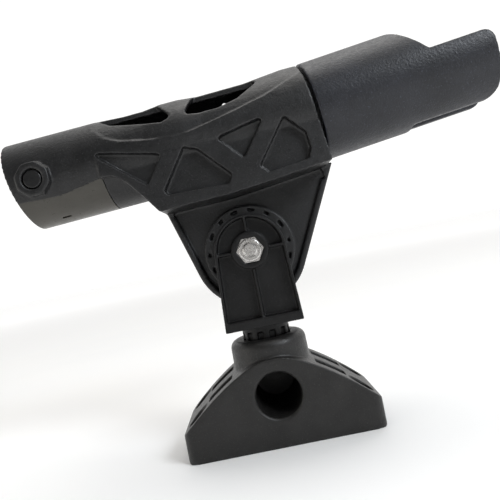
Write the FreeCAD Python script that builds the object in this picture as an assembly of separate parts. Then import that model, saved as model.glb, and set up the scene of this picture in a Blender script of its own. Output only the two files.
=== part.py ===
import FreeCAD, Part
import math
import os

# Tube-and-cradle rod holder on a deck mount, in millimetres.
# Frame: +Z up, origin on the deck face under the middle of the mount. The tilt axis runs along Y
# through the hub, the front of the cradle points to +X, and the button is on the -Y side.

V = FreeCAD.Vector

# ---- driving dimensions ----
BASE_HALF_LENGTH = 54.0
BASE_HALF_DEPTH = 24.0
BASE_END_HEIGHT = 15.5
BASE_TOP = 47.4
BASE_CORNER_R = 5.0
NECK_TOP = 56.8
NECK_R = 21.5
SIDE_SOCKET_Z = 27.6
SIDE_SOCKET_R = 12.3
POST_SOCKET_R = 12.0
POST_SOCKET_FLOOR = 42.0
SCREW_X = 45.0
SCREW_Y = 15.0
SCREW_SEAT = 14.0
SCREW_R = 2.5
SCREW_SHANK_R = 2.24
SCREW_HEAD_R = 4.8
SCREW_HEAD_HEIGHT = 3.4
SCREW_RECESS_R = 5.8
SCREW_LENGTH = 27.5
SCREW_TIP = 3.0

HUB_Z = 106.0
EAR_OUTER_Y = 20.0
EAR_INNER_Y = 12.3
EAR_ARCH_R = 19.4
EAR_BOTTOM_Z = 64.2
EAR_BOTTOM_HALF = 21.4
EAR_RIM = 1.5
EAR_RIB_HALF = 0.7
HUB_RING_R = 10.0
BAND_HEIGHT = 5.0
TOOTH_COUNT = 12
TOOTH_DEG = 14.0
TOOTH_LOW = 53.2
TOOTH_HIGH = 61.0
TOOTH_AIR = 0.3
RIB_HEIGHT = 3.0
COLLAR_R = 13.4

BOLT_R = 4.0
BOLT_HOLE_R = 4.08
NUT_FLATS = 13.0
NUT_HEIGHT = 6.5
NUT_FACE_Y = -21.4
NUT_COLLAR_R = 6.2
KNOB_R = 19.0

BODY_TILT = 3.7
BODY_RISE = 67.0
SLEEVE_TILT = 7.6
SLEEVE_RISE = 62.8
LINER_R = 24.6
LINER_BORE_R = 21.5
LINER_FRONT = -66.0
BODY_BORE_R = 21.8
SKIN_REAR_R = 25.6
SKIN_FRONT_R = 27.6
SKIRT_Y = 25.8
SKIRT_WALL = 6.2
POCKET_FLOOR_Y = 21.4
POCKET_FLOOR_R = 23.2
COLLAR_END = 56.6
SPIGOT_R = 23.92
SPIGOT_BORE_R = 21.2
SPIGOT_END = 78.0
SLEEVE_R = 28.0
SLEEVE_BORE_R = 24.0
SLEEVE_REAR = 58.2
SLEEVE_FRONT = 157.0
STEM_SLOT_HALF = 6.0

FLANGE_ARC_R = 32.0
FLANGE_HALF = 4.0
FLANGE_RIM_HALF = 6.5
BOSS_R = 24.8
BOSS_HALF = 12.0
GROOVE_COUNT = 15

BUTTON_T = -100.0
BUTTON_P = -2.0
BUTTON_R = 4.9


# ---- helpers ----
def on_axis(tilt, rise):
    """Placement of a tube's own frame: x along the tube, z away from the hub."""
    a = math.radians(tilt)
    foot = V(-rise * math.sin(a), 0, HUB_Z + rise * math.cos(a))
    return FreeCAD.Placement(foot, FreeCAD.Rotation(V(0, 1, 0), -tilt))


def placed(shape, placement):
    copy = shape.copy()
    copy.Placement = placement.multiply(copy.Placement)
    return copy


def rod_x(radius, x0, x1):
    return Part.makeCylinder(radius, x1 - x0, V(x0, 0, 0), V(1, 0, 0))


def rod_y(radius, y0, y1, x=0.0, z=0.0):
    return Part.makeCylinder(radius, y1 - y0, V(x, y0, z), V(0, 1, 0))


def rod_z(radius, z0, z1, x=0.0, y=0.0):
    return Part.makeCylinder(radius, z1 - z0, V(x, y, z0))


def tapered_x(r0, r1, x0, x1):
    if r0 == r1:
        return rod_x(r0, x0, x1)
    return Part.makeCone(r0, r1, x1 - x0, V(x0, 0, 0), V(1, 0, 0))


def block(x0, x1, y0, y1, z0, z1):
    return Part.makeBox(x1 - x0, y1 - y0, z1 - z0, V(x0, y0, z0))


def rounded_wire(points, radii):
    """Closed wire in the XZ plane. Each corner is rounded by its own radius, or sharp at 0."""
    count = len(points)
    corners = []
    for i, (x, z) in enumerate(points):
        here = V(x, 0, z)
        before = (V(points[i - 1][0], 0, points[i - 1][1]) - here).normalize()
        after = (V(points[(i + 1) % count][0], 0, points[(i + 1) % count][1]) - here).normalize()
        if radii[i] == 0:
            corners.append((here, None, here))
            continue
        half = before.getAngle(after) / 2
        reach = radii[i] / math.tan(half)
        centre = here + (before + after).normalize() * (radii[i] / math.sin(half))
        middle = centre + (here - centre).normalize() * radii[i]
        corners.append((here + before * reach, middle, here + after * reach))
    edges = []
    for i, (start, middle, end) in enumerate(corners):
        if middle is not None:
            edges.append(Part.Arc(start, middle, end).toShape())
        following = corners[(i + 1) % count][0]
        if (following - end).Length > 1e-6:
            edges.append(Part.LineSegment(end, following).toShape())
    return Part.Wire(edges)


def slab(points, y0, y1, radius=0.0):
    """Prism between two Y planes over an outline in the XZ plane."""
    radii = radius if isinstance(radius, list) else [radius] * len(points)
    face = Part.Face(rounded_wire(points, radii))
    face.translate(V(0, y0, 0))
    return face.extrude(V(0, y1 - y0, 0))


def hex_prism(flats, y0, y1, z=HUB_Z):
    corner = flats / math.sqrt(3)
    points = [V(corner * math.cos(math.radians(60 * i)), y0, z + corner * math.sin(math.radians(60 * i)))
              for i in range(7)]
    return Part.Face(Part.makePolygon(points)).extrude(V(0, y1 - y0, 0))


def sector_ring(r0, r1, z0, z1, width_deg, middle_deg):
    ring = Part.makeCylinder(r1, z1 - z0, V(0, 0, z0), V(0, 0, 1), width_deg)
    ring = ring.cut(rod_z(r0, z0 - 1, z1 + 1))
    ring.rotate(V(0, 0, 0), V(0, 0, 1), middle_deg - width_deg / 2)
    return ring


def fuse_all(shapes):
    return shapes[0].multiFuse(shapes[1:]).removeSplitter()


# ---- deck mount ----
def arch_spline():
    half = [(54.0, BASE_END_HEIGHT), (45.0, 23.5), (32.0, 33.6), (20.0, 41.2), (10.0, 45.8)]
    points = [V(-x, 0, z) for x, z in half] + [V(0, 0, BASE_TOP)] + [V(x, 0, z) for x, z in reversed(half)]
    curve = Part.BSplineCurve()
    curve.interpolate(points)
    return curve.toShape()


def is_upright(edge):
    run = edge.Vertexes[-1].Point - edge.Vertexes[0].Point
    return abs(run.x) < 1e-6 and abs(run.y) < 1e-6


def half_moon():
    left = V(-BASE_HALF_LENGTH, 0, 0)
    right = V(BASE_HALF_LENGTH, 0, 0)
    top_left = V(-BASE_HALF_LENGTH, 0, BASE_END_HEIGHT)
    top_right = V(BASE_HALF_LENGTH, 0, BASE_END_HEIGHT)
    edges = [Part.LineSegment(left, top_left).toShape(), arch_spline(),
             Part.LineSegment(top_right, right).toShape(), Part.LineSegment(right, left).toShape()]
    face = Part.Face(Part.Wire(edges))
    face.translate(V(0, -BASE_HALF_DEPTH, 0))
    solid = face.extrude(V(0, 2 * BASE_HALF_DEPTH, 0))
    upright = [e for e in solid.Edges if is_upright(e)]
    return solid.makeFillet(BASE_CORNER_R, upright)


def neck():
    shape = Part.makeCone(NECK_R + 1.0, NECK_R, NECK_TOP - 12.0, V(0, 0, 12.0))
    rim = [e for e in shape.Edges if e.Closed and abs(e.CenterOfMass.z - NECK_TOP) < 1e-3]
    return shape.makeFillet(4.5, rim)


def core_slot(side_x, side_y):
    x0, x1 = sorted((side_x * 23.5, side_x * 38.0))
    y0, y1 = sorted((side_y * 6.0, side_y * 15.0))
    return block(x0, x1, y0, y1, 4.0, 60.0)


def deck_mount_body():
    shape = half_moon().fuse(neck())
    rib_top = TOOTH_LOW - TOOTH_AIR
    rib_foot = rib_top - RIB_HEIGHT
    cuts = [rod_z(POST_SOCKET_R, POST_SOCKET_FLOOR, 80.0), rod_z(COLLAR_R + 0.15, rib_foot, 80.0),
            rod_y(SIDE_SOCKET_R, -30.0, 20.0, 0.0, SIDE_SOCKET_Z)]
    mouth = V(0, -BASE_HALF_DEPTH, SIDE_SOCKET_Z)
    flare = Part.makeCone(SIDE_SOCKET_R + 1.0, SIDE_SOCKET_R, 1.0, mouth, V(0, 1, 0))
    cuts.append(flare)
    for sx in (-1, 1):
        for sy in (-1, 1):
            cuts.append(core_slot(sx, sy))
            cuts.append(rod_z(SCREW_R + 0.15, -1.0, 30.0, sx * SCREW_X, sy * SCREW_Y))
            cuts.append(rod_z(SCREW_RECESS_R, SCREW_SEAT, 60.0, sx * SCREW_X, sy * SCREW_Y))
    for cut in cuts:
        shape = shape.cut(cut)
    pitch = 360.0 / TOOTH_COUNT
    ribs = [sector_ring(POST_SOCKET_R, COLLAR_R + 0.6, rib_foot - 0.5, rib_top, TOOTH_DEG, pitch * (i + 0.5))
            for i in range(TOOTH_COUNT)]
    return fuse_all([shape] + ribs)


def screw(x, y):
    """Pan-head machine screw: reduced shank inside the mount, thread below the deck face."""
    end = SCREW_SEAT - SCREW_LENGTH
    top = SCREW_SEAT + SCREW_HEAD_HEIGHT
    shank = rod_z(SCREW_SHANK_R, 0.0, SCREW_SEAT, x, y)
    thread = rod_z(SCREW_R, end + SCREW_TIP, 0.0, x, y)
    tip = Part.makeCone(1.2, SCREW_R, SCREW_TIP, V(x, y, end))
    head = rod_z(SCREW_HEAD_R, SCREW_SEAT, top, x, y)
    rim = [e for e in head.Edges if e.Closed and e.CenterOfMass.z > SCREW_SEAT + 1]
    head = head.makeFillet(2.2, rim)
    for half_x, half_y in ((2.4, 0.5), (0.5, 2.4)):
        head = head.cut(block(x - half_x, x + half_x, y - half_y, y + half_y, top - 1.8, top + 1))
    return fuse_all([shank, thread, tip, head])


def deck_screws():
    return Part.makeCompound([screw(sx * SCREW_X, sy * SCREW_Y) for sx in (-1, 1) for sy in (-1, 1)])


# ---- yoke ----
def ear_outline(inset):
    r = EAR_ARCH_R - inset
    low = EAR_BOTTOM_Z + (BAND_HEIGHT if inset else 0.0)
    slope = (EAR_BOTTOM_HALF - EAR_ARCH_R) / (HUB_Z - EAR_BOTTOM_Z)
    half = r + slope * (HUB_Z - low)
    edges = [Part.LineSegment(V(-half, 0, low), V(-r, 0, HUB_Z)).toShape(),
             Part.Arc(V(-r, 0, HUB_Z), V(0, 0, HUB_Z + r), V(r, 0, HUB_Z)).toShape(),
             Part.LineSegment(V(r, 0, HUB_Z), V(half, 0, low)).toShape(),
             Part.LineSegment(V(half, 0, low), V(-half, 0, low)).toShape()]
    return Part.Face(Part.Wire(edges))


def between_y(face, y0, y1):
    copy = face.copy()
    copy.translate(V(0, y0, 0))
    return copy.extrude(V(0, y1 - y0, 0))


def ear(side):
    """One ear of the fork, with its recessed outer panel, four ribs and hub ring."""
    y0, y1 = sorted((side * EAR_INNER_Y, side * EAR_OUTER_Y))
    floor = side * (EAR_OUTER_Y - 5.0)
    p0, p1 = sorted((floor, side * (EAR_OUTER_Y + 1)))
    recess = between_y(ear_outline(EAR_RIM), p0, p1)
    ring0, ring1 = sorted((side * EAR_INNER_Y, side * (EAR_OUTER_Y + 1.0)))
    q0, q1 = sorted((side * EAR_INNER_Y, side * (EAR_OUTER_Y - 0.4)))
    ribs = [block(-EAR_RIB_HALF, EAR_RIB_HALF, q0, q1, EAR_BOTTOM_Z + 1, HUB_Z + EAR_ARCH_R - 1),
            block(-EAR_ARCH_R + 1, EAR_ARCH_R - 1, q0, q1, HUB_Z - EAR_RIB_HALF, HUB_Z + EAR_RIB_HALF)]
    ring = rod_y(HUB_RING_R, ring0, ring1, 0.0, HUB_Z)
    return fuse_all([between_y(ear_outline(0.0), y0, y1).cut(recess), ring] + ribs)


def yoke_arm():
    """Fork on a toothed post, which stands lifted clear of the mount's ribs, free to turn."""
    band_profile = ear_outline(0.0).common(Part.Face(Part.makePolygon([
        V(-40, 0, EAR_BOTTOM_Z), V(40, 0, EAR_BOTTOM_Z), V(40, 0, EAR_BOTTOM_Z + BAND_HEIGHT),
        V(-40, 0, EAR_BOTTOM_Z + BAND_HEIGHT), V(-40, 0, EAR_BOTTOM_Z)])))
    band = between_y(band_profile.Faces[0], -EAR_OUTER_Y, EAR_OUTER_Y)
    lifted = POST_SOCKET_FLOOR + RIB_HEIGHT + 0.8
    post = rod_z(POST_SOCKET_R - 0.07, lifted, EAR_BOTTOM_Z + 1)
    cap = rod_z(COLLAR_R, TOOTH_HIGH - 0.5, EAR_BOTTOM_Z + 1)
    pitch = 360.0 / TOOTH_COUNT
    teeth = [sector_ring(POST_SOCKET_R - 0.5, COLLAR_R, TOOTH_LOW, TOOTH_HIGH, TOOTH_DEG, pitch * i)
             for i in range(TOOTH_COUNT)]
    shape = fuse_all([ear(-1), ear(1), band, post, cap] + teeth)
    shape = shape.cut(rod_y(BOLT_HOLE_R, -30.0, 30.0, 0.0, HUB_Z))
    return shape.cut(hex_prism(NUT_FLATS + 0.2, -30.0, NUT_FACE_Y + NUT_HEIGHT))


def hub_nut():
    """Lock nut: the hexagon sits in the ear, and its round collar, counterbored, stands out of it."""
    shape = hex_prism(NUT_FLATS, NUT_FACE_Y + 2.0, NUT_FACE_Y + NUT_HEIGHT)
    collar = rod_y(NUT_COLLAR_R, NUT_FACE_Y, NUT_FACE_Y + 2.5, 0.0, HUB_Z)
    rim = [e for e in collar.Edges if e.Closed and abs(e.CenterOfMass.y - NUT_FACE_Y) < 1e-3]
    shape = shape.fuse(collar.makeFillet(0.6, rim)).removeSplitter()
    shape = shape.cut(rod_y(5.0, NUT_FACE_Y - 1.0, NUT_FACE_Y + 1.0, 0.0, HUB_Z))
    return shape.cut(rod_y(BOLT_R + 0.06, -40.0, 0.0, 0.0, HUB_Z))


# ---- clamp knob ----
def knob_washer():
    y0 = EAR_OUTER_Y + 1.0
    return rod_y(8.5, y0, y0 + 1.6, 0.0, HUB_Z).cut(rod_y(BOLT_R + 0.08, 0.0, 60.0, 0.0, HUB_Z))


def clamp_bolt():
    shank = rod_y(BOLT_R, -22.6, 34.0, 0.0, HUB_Z)
    ends = [e for e in shank.Edges if e.Closed and e.CenterOfMass.y < 0]
    return shank.makeChamfer(0.8, ends).fuse(hex_prism(NUT_FLATS, 34.0, 39.3))


def clamp_knob():
    """Five-lobed knob moulded round the bolt's head."""
    y0 = EAR_OUTER_Y + 2.7
    body = rod_y(14.0, y0 + 6.0, y0 + 21.0, 0.0, HUB_Z)
    hub = Part.makeCone(9.0, 14.0, 6.2, V(0, y0, HUB_Z), V(0, 1, 0))
    lobes = []
    for i in range(5):
        a = math.radians(72 * i + 18)
        lobes.append(rod_y(7.2, y0 + 6.0, y0 + 21.0, 11.8 * math.cos(a), HUB_Z + 11.8 * math.sin(a)))
    knob = fuse_all([body, hub] + lobes)
    rim = [e for e in knob.Edges if abs(e.CenterOfMass.y - y0 - 21.0) < 1e-3]
    knob = knob.makeFillet(2.0, rim)
    return knob.cut(rod_y(BOLT_R, 0.0, 35.0, 0.0, HUB_Z)).cut(hex_prism(NUT_FLATS, 34.0, 39.3))


# ---- holder body, in its own tube frame ----
SKIN_OUTLINE = [(-125, 40), (-125, -11.5), (-89, -13), (-66.5, -10), (-59, -11), (-53.5, -16),
                (-46.5, -26), (-40.5, -35.5), (-4.5, -36), (17, -35), (38, -33.5), (70, -31),
                (70, 40), (62, 22), (50, 18), (29, 10), (6, 5), (-19, 0.5), (-36, 2.5),
                (-53, 6.5), (-60, 10.5), (-65.9, 18), (-65.9, 40)]
SKIN_RADII = [0, 0, 20, 8, 6, 10, 20, 2, 20, 20, 20, 0, 0, 10, 20, 20, 20, 20, 20, 12, 8, 4, 0]
POCKETS = [[(-69, 4), (-32, -6), (-43, -20.5)],
           [(-20, -5.5), (-13, -8.5), (1.5, -26), (-1.5, -30.5), (-34, -28), (-35.5, -25.5)],
           [(-2, -5.5), (25, -1), (9.5, -19.5)],
           [(35, -3.5), (44.5, -14), (45, -23), (42.5, -28.5), (20.5, -30), (16.5, -25.5)]]
WINDOWS = [[(-65, 40), (-65, 24.5), (-56, 17.5), (-45, 14.5), (-28, 10.5), (-22.5, 12.5),
            (-32, 27), (-32, 40)],
           [(-7, 40), (-7, 27), (-15.5, 11.5), (-8, 10.5), (3, 10.5), (14, 13), (27, 20.5),
            (23, 27), (23, 40)]]
WINDOW_TOP_Y = -7.0
CORE_PROFILE = [(-66.0, 25.55), (-50.0, 24.7), (-38.0, 24.8), (-28.0, 25.9), (-18.0, 25.9), (-7.0, 24.9),
                (20.0, 25.2), (31.0, 26.2), (42.0, 27.2), (70.0, 27.2)]
BARE_TUBE = [(-67.0, -10.5), (-59.0, -10.5), (-44.0, -22.0), (-44.0, -40.0), (-67.0, -40.0)]
INNER_RIBS_T = (-45.0, 3.0)
CHANNEL = [(-75, -31), (-4, -32.5), (17, -31.5), (38, -30), (47, -29), (47, -9), (-75, -9)]


def rear_trim():
    """Everything behind the raked rear end of the tube."""
    return slab([(-160, 60), (-160, -60), (-106.7, -60), (-122.0, 60)], -60, 60)


def front_trim():
    """Everything in front of the collar's face, which is square to the sleeve's axis."""
    cutter = block(COLLAR_END, COLLAR_END + 120, -60, 60, -90, 90)
    world = placed(cutter, on_axis(SLEEVE_TILT, SLEEVE_RISE))
    return placed(world, on_axis(BODY_TILT, BODY_RISE).inverse())


def skin():
    """Outer layer: round over the tube, flat skirts below, open channel between the skirts."""
    tube = fuse_all([rod_x(SKIN_REAR_R, -125, -60), tapered_x(SKIN_REAR_R, SKIN_FRONT_R, -60, 45),
                     rod_x(SKIN_FRONT_R, 45, 70)])
    skirts = block(-66, 70, -SKIRT_Y, SKIRT_Y, -40, 2)
    inner = SKIRT_Y - SKIRT_WALL
    skirts = skirts.cut(slab(CHANNEL, -inner, inner))
    layer = tube.fuse(skirts).common(slab(SKIN_OUTLINE, -60, 60, SKIN_RADII))
    return layer.cut(rod_x(LINER_R + 0.04, -130, LINER_FRONT))


def core():
    """Inner layer, which carries the windows. It runs out into the skin at both ends."""
    spans = zip(CORE_PROFILE, CORE_PROFILE[1:])
    shape = fuse_all([tapered_x(r0, r1, t0, t1) for (t0, r0), (t1, r1) in spans])
    for outline in WINDOWS:
        shape = shape.cut(slab(outline, -60, WINDOW_TOP_Y, 2.0))
    return shape.cut(slab(BARE_TUBE, -60, 60).cut(rod_x(LINER_R, -130, 0)))


def inner_ribs():
    """Low ribs on the far wall of the bore, behind the windows."""
    ribs = []
    for t in INNER_RIBS_T:
        ring = rod_x(BODY_BORE_R + 0.5, t - 0.8, t + 0.8).cut(rod_x(SPIGOT_BORE_R, t - 2, t + 2))
        ribs.append(ring.common(block(t - 2, t + 2, 0, 30, -12, 30)))
    return ribs


def sight_hole():
    """Small slanting hole in the far wall, level with the front window."""
    hole = Part.makeCylinder(1.5, 60, V(7.5, -2.0, 16.5), V(0, 1, 0.293))
    return hole.common(block(0, 20, 2, 60, 0, 60))


def button_guard():
    guard = Part.makeCone(11.0, 8.9, 4.4, V(BUTTON_T, -24.2, BUTTON_P), V(0, -1, 0))
    corner = 9.6
    points = [V(BUTTON_T + corner * math.cos(math.radians(45 * i + 22.5)), -35,
                BUTTON_P + corner * math.sin(math.radians(45 * i + 22.5))) for i in range(9)]
    octagon = Part.Face(Part.makePolygon(points)).extrude(V(0, 20, 0))
    return guard.common(octagon).cut(rod_x(LINER_R + 0.04, -130, LINER_FRONT))


def flange_outline():
    """Plate under the tube in world X and Z: an arc about the hub and two tangent sides."""
    def tangent(x, z, sign):
        angle = math.atan2(z, x) + sign * math.acos(FLANGE_ARC_R / math.hypot(x, z))
        return V(FLANGE_ARC_R * math.cos(angle), 0, HUB_Z + FLANGE_ARC_R * math.sin(angle))
    left = V(-42.6, 0, 137.3)
    right = V(53.8, 0, 143.0)
    foot_left = tangent(-42.6, 31.3, 1)
    foot_right = tangent(53.8, 37.0, -1)
    left = left + (left - foot_left).normalize() * 3.0
    right = right + (right - foot_right).normalize() * 3.0
    bottom = V(0, 0, HUB_Z - FLANGE_ARC_R)
    edges = [Part.LineSegment(left, foot_left).toShape(), Part.Arc(foot_left, bottom, foot_right).toShape(),
             Part.LineSegment(foot_right, right).toShape(), Part.LineSegment(right, left).toShape()]
    return Part.Wire(edges)


def flange():
    outline = flange_outline()
    plate = between_y(Part.Face(outline), -FLANGE_HALF, FLANGE_HALF)
    inner = outline.makeOffset2D(-3.4)
    rim_face = Part.Face(outline).cut(Part.Face(inner))
    rim = between_y(rim_face.Faces[0], -FLANGE_RIM_HALF, FLANGE_RIM_HALF)
    rim = rim.cut(slab([(-38.3, 131.5), (49.6, 137.5), (46.5, 150), (-36.5, 150)], -10, 10))
    boss = rod_y(BOSS_R, -BOSS_HALF, BOSS_HALF, 0.0, HUB_Z)
    groove = block(21.4, 22.8, -BOSS_HALF - 1, BOSS_HALF + 1, -2.1, 2.1)
    groove = groove.cut(block(0, 40, -BOSS_HALF + 3, BOSS_HALF - 3, -5, 5))
    shape = fuse_all([plate, rim, boss])
    for i in range(GROOVE_COUNT):
        cut = groove.copy()
        cut.translate(V(0, 0, HUB_Z))
        cut.rotate(V(0, 0, HUB_Z), V(0, 1, 0), 90 + 360.0 / GROOVE_COUNT * i)
        shape = shape.cut(cut)
    return shape


def spigot():
    """Round spigot on the sleeve's axis, with grooves for the friction ring and the retainer."""
    tube = rod_x(SPIGOT_R, COLLAR_END - 2.0, SPIGOT_END)
    ring_grooves = [rod_x(30, 64.0, 66.0).cut(rod_x(22.4, 63.0, 67.0)),
                    rod_x(30, 74.0, 75.5).cut(rod_x(22.6, 73.0, 76.5))]
    for groove in ring_grooves:
        tube = tube.cut(groove)
    return tube


def cradle_body():
    body_frame = on_axis(BODY_TILT, BODY_RISE)
    sleeve_frame = on_axis(SLEEVE_TILT, SLEEVE_RISE)
    shape = skin().fuse(core()).fuse(button_guard())
    web = block(-38.0, 50.0, -FLANGE_HALF, FLANGE_HALF, -36.0, -20.0)
    shape = shape.fuse(web)
    for outline in POCKETS:
        for y0, y1 in ((-60, -POCKET_FLOOR_Y), (POCKET_FLOOR_Y, 60)):
            shape = shape.cut(slab(outline, y0, y1, 1.3).cut(rod_x(POCKET_FLOOR_R, -130, 80)))
    shape = shape.cut(rear_trim()).cut(front_trim())
    shape = placed(shape, body_frame)
    shape = shape.fuse(flange()).fuse(placed(spigot(), sleeve_frame))
    shape = shape.cut(placed(rod_x(BODY_BORE_R, -130, 50), body_frame))
    for rib in inner_ribs():
        shape = shape.fuse(placed(rib, body_frame))
    shape = shape.cut(placed(sight_hole(), body_frame))
    shape = shape.cut(placed(rod_x(SPIGOT_BORE_R, 40, 90), sleeve_frame))
    hole = rod_y(BUTTON_R + 0.6, -60, -10, BUTTON_T, BUTTON_P)
    shape = shape.cut(placed(hole, body_frame))
    return shape.cut(rod_y(BOLT_HOLE_R, -30, 30, 0.0, HUB_Z))


def liner_tube():
    shape = rod_x(LINER_R, -125, LINER_FRONT - 0.02).cut(rod_x(LINER_BORE_R, -130, 0))
    shape = shape.cut(rear_trim())
    shape = shape.cut(rod_y(BUTTON_R + 0.07, -60, -10, BUTTON_T, BUTTON_P))
    shape = shape.cut(rod_y(1.5, -60, -10, -78.0, BUTTON_P))
    drain = block(-96.0, -91.0, -0.8, 0.8, -30, -10)
    drain.rotate(V(0, 0, 0), V(1, 0, 0), -22)
    return placed(shape.cut(drain), on_axis(BODY_TILT, BODY_RISE))


def snap_button():
    """Domed button with an inner flange that stops behind the liner's wall."""
    head = rod_y(BUTTON_R, -28.0, -19.5, BUTTON_T, BUTTON_P)
    rim = [e for e in head.Edges if e.Closed and e.CenterOfMass.y < -27]
    head = head.makeFillet(0.9, rim)
    stop = rod_y(6.0, -19.8, -19.05, BUTTON_T, BUTTON_P)
    return placed(head.fuse(stop).removeSplitter(), on_axis(BODY_TILT, BODY_RISE))


def button_spring():
    """Leaf spring along the liner's bore, with a pad at its fixed end."""
    leaf = block(-106.0, -74.0, -18.95, -18.45, BUTTON_P - 3.0, BUTTON_P + 3.0)
    pad = block(-82.0, -74.0, -22.5, -18.45, BUTTON_P - 3.0, BUTTON_P + 3.0)
    pad = pad.common(rod_x(LINER_BORE_R, -120, 0))
    shape = leaf.fuse(pad).cut(rod_y(1.5, -60, -10, -78.0, BUTTON_P)).removeSplitter()
    return placed(shape, on_axis(BODY_TILT, BODY_RISE))


def button_rivet():
    shank = rod_y(1.5, -23.4, -18.45, -78.0, BUTTON_P)
    head = rod_y(2.6, -18.45, -17.65, -78.0, BUTTON_P)
    return placed(shank.fuse(head).removeSplitter(), on_axis(BODY_TILT, BODY_RISE))


# ---- cradle sleeve, on its own axis ----
def cradle_sleeve():
    tube = rod_x(SLEEVE_R, SLEEVE_REAR, SLEEVE_FRONT).cut(rod_x(SLEEVE_BORE_R, 0, 200))
    tube = tube.cut(rod_x(25.3, 73.7, 75.8))
    keep = [(50, -30), (109, -30), (109, -26.0), (SLEEVE_FRONT, -26.0), (SLEEVE_FRONT, 7.0), (122.7, 7.0),
            (108.8, 28.0), (106, 34), (50, 34)]
    tube = tube.common(slab(keep, -40, 40, [0, 0, 0, 6.0, 5.5, 0.8, 1.6, 0, 0]))
    slot = block(116, 170, -STEM_SLOT_HALF, STEM_SLOT_HALF, -40, 0)
    slot = slot.fuse(rod_z(STEM_SLOT_HALF, -40, 0, 116, 0))
    return placed(tube.cut(slot), on_axis(SLEEVE_TILT, SLEEVE_RISE))


def ring_on_sleeve_axis(r0, r1, x0, x1):
    return placed(rod_x(r1, x0, x1).cut(rod_x(r0, x0 - 1, x1 + 1)), on_axis(SLEEVE_TILT, SLEEVE_RISE))


def friction_ring():
    return ring_on_sleeve_axis(22.4, 23.97, 64.0, 66.0)


def sleeve_retainer():
    ring = rod_x(25.0, 74.0, 75.5).cut(rod_x(22.6, 70, 80))
    ring = ring.cut(block(70, 80, -2.0, 2.0, -30, 0))
    return placed(ring, on_axis(SLEEVE_TILT, SLEEVE_RISE))


NODES = {
    "deck_mount_body": deck_mount_body, "deck_screws": deck_screws, "yoke_arm": yoke_arm,
    "hub_nut": hub_nut, "knob_washer": knob_washer, "clamp_bolt": clamp_bolt, "clamp_knob": clamp_knob,
    "cradle_body": cradle_body, "liner_tube": liner_tube, "snap_button": snap_button,
    "button_spring": button_spring, "button_rivet": button_rivet, "cradle_sleeve": cradle_sleeve,
    "friction_ring": friction_ring, "sleeve_retainer": sleeve_retainer,
}

os.makedirs("parts", exist_ok=True)
for name, make in NODES.items():
    shape = make()
    shape.exportStep("parts/" + name + ".step")
    print(name, len(shape.Solids), "solids", shape.isValid(), round(shape.Volume), "mm3", shape.BoundBox)
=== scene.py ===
import math
import bpy
from mathutils import Matrix, Vector

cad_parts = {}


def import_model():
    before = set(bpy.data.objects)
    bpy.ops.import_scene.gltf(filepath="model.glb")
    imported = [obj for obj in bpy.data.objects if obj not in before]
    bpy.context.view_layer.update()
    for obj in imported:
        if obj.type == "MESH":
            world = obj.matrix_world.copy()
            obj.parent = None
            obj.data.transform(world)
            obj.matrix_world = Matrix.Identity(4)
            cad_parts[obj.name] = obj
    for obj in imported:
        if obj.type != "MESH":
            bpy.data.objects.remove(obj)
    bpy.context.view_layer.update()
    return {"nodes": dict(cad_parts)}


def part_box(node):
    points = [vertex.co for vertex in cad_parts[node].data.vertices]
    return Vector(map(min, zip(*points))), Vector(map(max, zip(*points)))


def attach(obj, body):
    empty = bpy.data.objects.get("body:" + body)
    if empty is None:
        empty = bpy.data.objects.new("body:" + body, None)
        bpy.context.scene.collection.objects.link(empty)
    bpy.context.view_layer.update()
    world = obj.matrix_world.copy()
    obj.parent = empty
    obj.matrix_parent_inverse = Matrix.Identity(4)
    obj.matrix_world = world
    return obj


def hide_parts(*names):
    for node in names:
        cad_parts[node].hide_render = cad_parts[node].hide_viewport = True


# Rod holder: moulded black nylon, stainless fasteners, on a pale floor.

MM = 0.001
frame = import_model()
NODES = frame["nodes"]
scene = bpy.context.scene
scene.view_settings.view_transform = "Standard"

# ---- places, from the frame ----
NUT_LOW, NUT_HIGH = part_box("hub_nut")
HUB = Vector((0.0, 0.0, (NUT_LOW.z + NUT_HIGH.z) / 2))

# ---- camera ----
CAMERA_DISTANCE = 285 * MM
CAMERA_ROLL = math.radians(11.3)
CAMERA_FOCAL_PX = 495.0
PICTURE_PX = 500.0
SENSOR_MM = 36.0

# ---- light ----
WORLD_DIM = 0.16
WORLD_BRIGHT = 1.08
WORLD_DIM_BELOW_Y = -0.5
WORLD_BRIGHT_ABOVE_Y = 0.65
FLOOR_SIZE = 14.0
# painted light on the floor: emission strength, and the distances from the object where it starts and
# where it is full
FLOOR_PAINTED_LIGHT = 0.4
FLOOR_PAINTED_LIGHT_FROM = 0.5
FLOOR_PAINTED_LIGHT_FULL_AT = 2.2

# ---- material numbers: colours, then noise scales per metre and bump heights in metres ----
BLACK_NYLON = (0.0062, 0.0062, 0.0066)
BROWN_NYLON = (0.022, 0.0205, 0.017)
STAINLESS = (0.66, 0.64, 0.62)
CLOUD_SCALE = 55.0
SPECK_SCALE = 1250.0
GLOSS_SCALE = 420.0
GRAIN_SCALE = 1100.0
GRAIN_STRENGTH = 0.75
GRAIN_HEIGHT = 0.00016
PEBBLE_SCALE = 720.0
PEBBLE_STRENGTH = 0.4
PEBBLE_HEIGHT = 0.00014
SPECK_LIFT = 4.5
# painted highlight on sharp outer edges: how much lighter the colour gets, and how strongly it is mixed
# in
EDGE_HIGHLIGHT_LIFT = 3.2
EDGE_HIGHLIGHT_AMOUNT = 0.55


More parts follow.
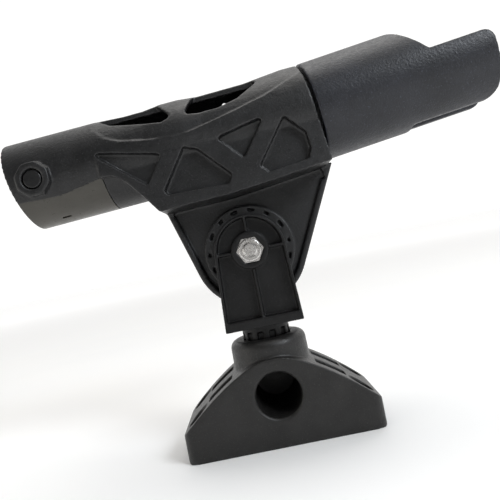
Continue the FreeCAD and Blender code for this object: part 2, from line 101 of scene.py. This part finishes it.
class Nodes:
    """Small helper that adds shader nodes and links them."""

    def __init__(self, name):
        self.material = bpy.data.materials.new(name)
        self.material.use_nodes = True
        self.tree = self.material.node_tree
        self.shader = self.tree.nodes["Principled BSDF"]
        self.coords = self.tree.nodes.new("ShaderNodeTexCoord")

    def add(self, kind, **values):
        node = self.tree.nodes.new(kind)
        for key, value in values.items():
            if hasattr(node, key):
                setattr(node, key, value)
            else:
                node.inputs[key.replace("_", " ")].default_value = value
        return node

    def link(self, source, target):
        self.tree.links.new(source, target)

    def noise(self, scale, detail=3.0, roughness=0.6):
        node = self.add("ShaderNodeTexNoise", Scale=scale, Detail=detail, Roughness=roughness)
        self.link(self.coords.outputs["Object"], node.inputs["Vector"])
        return node.outputs["Fac"]

    def voronoi(self, scale):
        node = self.add("ShaderNodeTexVoronoi", Scale=scale)
        self.link(self.coords.outputs["Object"], node.inputs["Vector"])
        return node.outputs["Distance"]

    def ramp(self, source, low, high, start=0.0, end=1.0):
        node = self.add("ShaderNodeMapRange")
        node.inputs["From Min"].default_value = low
        node.inputs["From Max"].default_value = high
        node.inputs["To Min"].default_value = start
        node.inputs["To Max"].default_value = end
        self.link(source, node.inputs["Value"])
        return node.outputs["Result"]

    def mix(self, fac, a, b):
        node = self.add("ShaderNodeMix", data_type="RGBA")
        self.link(fac, node.inputs["Factor"])
        for socket, value in ((node.inputs[6], a), (node.inputs[7], b)):
            if isinstance(value, tuple):
                socket.default_value = (*value, 1.0)
            else:
                self.link(value, socket)
        return node.outputs[2]

    def bump(self, height, strength, distance, normal=None):
        node = self.add("ShaderNodeBump", Strength=strength, Distance=distance)
        self.link(height, node.inputs["Height"])
        if normal is not None:
            self.link(normal, node.inputs["Normal"])
        return node.outputs["Normal"]


def edge_highlight_mask(n, low=0.515, high=0.62):
    """Mask for a painted edge highlight: 0 on flats and in hollows, 1 on sharp outer edges."""
    geometry = n.add("ShaderNodeNewGeometry")
    return n.ramp(geometry.outputs["Pointiness"], low, high)


def nylon(name, base, grain=1.0, rough=(0.36, 0.52), specular=0.42, speckle=True):
    """Glass-filled nylon: fine spark-eroded grain, pale glass specks, and a painted highlight that
    lightens sharp outer edges.
    """
    n = Nodes(name)
    pale = tuple(min(1.0, c * 1.7 + 0.004) for c in base)
    cloud = n.ramp(n.noise(CLOUD_SCALE, 4.0), 0.35, 0.7)
    colour = n.mix(cloud, base, pale)
    if speckle:
        specks = n.ramp(n.noise(SPECK_SCALE, 2.0, 0.5), 0.62, 0.71)
        colour = n.mix(specks, colour, tuple(c * SPECK_LIFT for c in base))
    # painted highlight: the base colour is made lighter on sharp outer edges
    painted_edge_light = n.ramp(edge_highlight_mask(n), 0.0, 1.0, 0.0, EDGE_HIGHLIGHT_AMOUNT)
    colour = n.mix(painted_edge_light, colour, tuple(c * EDGE_HIGHLIGHT_LIFT for c in base))
    n.link(colour, n.shader.inputs["Base Color"])
    roughness = n.ramp(n.noise(GLOSS_SCALE, 4.0), 0.3, 0.7, rough[0], rough[1])
    n.link(roughness, n.shader.inputs["Roughness"])
    n.shader.inputs["Specular IOR Level"].default_value = specular
    fine = n.bump(n.noise(GRAIN_SCALE, 3.0, 0.6), GRAIN_STRENGTH * grain, GRAIN_HEIGHT)
    pebble = n.bump(n.voronoi(PEBBLE_SCALE), PEBBLE_STRENGTH * grain, PEBBLE_HEIGHT, fine)
    n.link(pebble, n.shader.inputs["Normal"])
    return n.material


def metal(name, base, rough=(0.16, 0.34), brush_scale=900.0):
    n = Nodes(name)
    colour = n.mix(n.ramp(n.noise(240.0, 4.0), 0.3, 0.75), base, tuple(c * 0.86 for c in base))
    n.link(colour, n.shader.inputs["Base Color"])
    n.shader.inputs["Metallic"].default_value = 1.0
    n.link(n.ramp(n.noise(brush_scale, 3.0), 0.3, 0.7, rough[0], rough[1]), n.shader.inputs["Roughness"])
    n.link(n.bump(n.noise(1400.0, 2.0), 0.08, 0.00004), n.shader.inputs["Normal"])
    return n.material


def rubber(name):
    n = Nodes(name)
    colour = n.mix(n.ramp(n.noise(300.0), 0.3, 0.7), (0.012, 0.012, 0.012), (0.03, 0.03, 0.03))
    n.link(colour, n.shader.inputs["Base Color"])
    n.shader.inputs["Roughness"].default_value = 0.75
    n.link(n.bump(n.noise(1200.0), 0.2, 0.0001), n.shader.inputs["Normal"])
    return n.material


def studio_floor(name):
    """Pale paint; away from the object it emits painted light, standing in for lamp light, so the far
    floor is as bright as the surroundings.
    """
    n = Nodes(name)
    colour = n.mix(n.ramp(n.noise(6.0), 0.3, 0.7), (0.95, 0.945, 0.935), (0.93, 0.93, 0.93))
    n.link(colour, n.shader.inputs["Base Color"])
    n.shader.inputs["Roughness"].default_value = 0.7
    distance = n.add("ShaderNodeVectorMath", operation="LENGTH")
    n.link(n.coords.outputs["Object"], distance.inputs[0])
    # painted light: the floor emits more light the further it lies from the object, in place of lamp
    # light
    n.shader.inputs["Emission Color"].default_value = (1.0, 1.0, 1.0, 1.0)
    painted_floor_light = n.ramp(distance.outputs["Value"], FLOOR_PAINTED_LIGHT_FROM, FLOOR_PAINTED_LIGHT_FULL_AT, 0.0, FLOOR_PAINTED_LIGHT)
    n.link(painted_floor_light, n.shader.inputs["Emission Strength"])
    return n.material


MATERIALS = {
    "mount": nylon("mount_nylon", (0.0075, 0.0070, 0.0066), grain=1.15),
    "yoke": nylon("yoke_nylon", (0.0034, 0.0033, 0.0034), grain=0.9, specular=0.26),
    "cradle": nylon("cradle_nylon", BLACK_NYLON, grain=1.0),
    # sleeve: black nylon whose lighter bluish tint is a painted sheen
    "sleeve": nylon("sleeve_nylon_painted_sheen", (0.0068, 0.0074, 0.0105), grain=1.1),
    "knob": nylon("knob_nylon", BLACK_NYLON, grain=0.9),
    "smooth": nylon("smooth_nylon", BROWN_NYLON, grain=0.35, rough=(0.26, 0.4), speckle=False),
    "button": nylon("button_nylon", BLACK_NYLON, grain=0.4, rough=(0.3, 0.42), speckle=False),
    "stainless": metal("stainless_steel", STAINLESS),
    "spring": metal("spring_steel", (0.42, 0.41, 0.4), (0.25, 0.45)),
    "rubber": rubber("ring_rubber"),
}
FINISHES = {
    "deck_mount_body": "mount", "yoke_arm": "yoke", "cradle_body": "cradle", "cradle_sleeve": "sleeve",
    "clamp_knob": "knob", "liner_tube": "smooth", "snap_button": "button", "deck_screws": "stainless",
    "hub_nut": "stainless", "clamp_bolt": "stainless", "knob_washer": "stainless",
    "button_rivet": "stainless", "button_spring": "spring", "sleeve_retainer": "spring",
    "friction_ring": "rubber",
}


def give_material(obj, key):
    obj.data.materials.clear()
    obj.data.materials.append(MATERIALS[key])


# ---- moulded pieces: a CAD solid with its edges softened ----
MOULDED = {
    # node: (body, slot, voxel in mm, smoothing steps)
    "deck_mount_body": ("deck_mount", "nylon", 0.6, 5),
    "yoke_arm": ("yoke", "nylon", 0.45, 4),
    "cradle_body": ("holder", "nylon", 0.6, 4),
    "cradle_sleeve": ("sleeve", "nylon", 0.65, 4),
    "clamp_knob": ("knob", "nylon", 0.55, 4),
}


def apply_modifiers(obj):
    graph = bpy.context.evaluated_depsgraph_get()
    mesh = bpy.data.meshes.new_from_object(obj.evaluated_get(graph))
    obj.modifiers.clear()
    obj.data = mesh


def soften(node, voxel, steps):
    """Copy of a CAD solid, remeshed and relaxed, so that every edge has a small moulded radius."""
    source = NODES[node]
    piece = bpy.data.objects.new("moulded_" + node, source.data.copy())
    scene.collection.objects.link(piece)
    weld = piece.modifiers.new("weld", "WELD")
    weld.merge_threshold = 1e-6
    remesh = piece.modifiers.new("remesh", "REMESH")
    remesh.mode = "VOXEL"
    remesh.voxel_size = voxel * MM
    remesh.use_smooth_shade = True
    smooth = piece.modifiers.new("smooth", "SMOOTH")
    smooth.factor = 0.5
    smooth.iterations = steps
    apply_modifiers(piece)
    for polygon in piece.data.polygons:
        polygon.use_smooth = True
    return piece


for node, (body, slot, voxel, steps) in MOULDED.items():
    piece = soften(node, voxel, steps)
    give_material(piece, FINISHES[node])
    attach(piece, body)
    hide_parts(node)

for node, key in FINISHES.items():
    if node not in MOULDED:
        give_material(NODES[node], key)


# ---- floor and light ----
def floor():
    bpy.ops.mesh.primitive_plane_add(size=FLOOR_SIZE, location=(0, 0, 0))
    obj = bpy.context.object
    obj.name = "studio_floor"
    obj.data.materials.append(studio_floor("floor_paint_with_painted_light"))


def world():
    """Pale surroundings, bright towards +Y and dim towards -Y, whatever the height."""
    surroundings = bpy.data.worlds.new("pale_studio")
    scene.world = surroundings
    surroundings.use_nodes = True
    tree = surroundings.node_tree
    background = tree.nodes["Background"]
    coords = tree.nodes.new("ShaderNodeTexCoord")
    split = tree.nodes.new("ShaderNodeSeparateXYZ")
    tree.links.new(coords.outputs["Generated"], split.inputs["Vector"])
    depth = tree.nodes.new("ShaderNodeMapRange")
    depth.interpolation_type = "SMOOTHSTEP"
    depth.inputs["From Min"].default_value = WORLD_DIM_BELOW_Y
    depth.inputs["From Max"].default_value = WORLD_BRIGHT_ABOVE_Y
    depth.inputs["To Min"].default_value = WORLD_DIM
    depth.inputs["To Max"].default_value = WORLD_BRIGHT
    tree.links.new(split.outputs["Y"], depth.inputs["Value"])
    tree.links.new(depth.outputs["Result"], background.inputs["Strength"])
    background.inputs["Color"].default_value = (1.0, 0.995, 0.985, 1.0)


def area_light(name, place, target, size, watts, colour):
    data = bpy.data.lights.new(name, "AREA")
    data.size = size
    data.energy = watts
    data.color = colour
    lamp = bpy.data.objects.new(name, data)
    scene.collection.objects.link(lamp)
    lamp.location = place
    lamp.rotation_euler = (Vector(target) - Vector(place)).to_track_quat("-Z", "Y").to_euler()


def camera():
    data = bpy.data.cameras.new("camera")
    data.sensor_width = SENSOR_MM
    data.lens = SENSOR_MM * CAMERA_FOCAL_PX / PICTURE_PX
    data.clip_start = 0.01
    lens = bpy.data.objects.new("camera", data)
    scene.collection.objects.link(lens)
    upright = Matrix.Rotation(math.radians(90), 4, "X")
    roll = Matrix.Rotation(CAMERA_ROLL, 4, "Y")
    lens.matrix_world = Matrix.Translation((0.0, -CAMERA_DISTANCE, HUB.z)) @ roll @ upright
    scene.camera = lens


floor()
world()
area_light("key", (0.85, -0.75, 0.85), (0.03, 0, 0.15), 0.45, 11.0, (0.90, 0.95, 1.0))
area_light("top", (0.15, 0.05, 1.3), (0.0, 0, 0.1), 0.9, 7.0, (1.0, 0.98, 0.95))
area_light("left", (-0.95, -0.35, 0.2), (-0.05, 0, 0.15), 0.5, 1.6, (1.0, 0.97, 0.90))
camera()
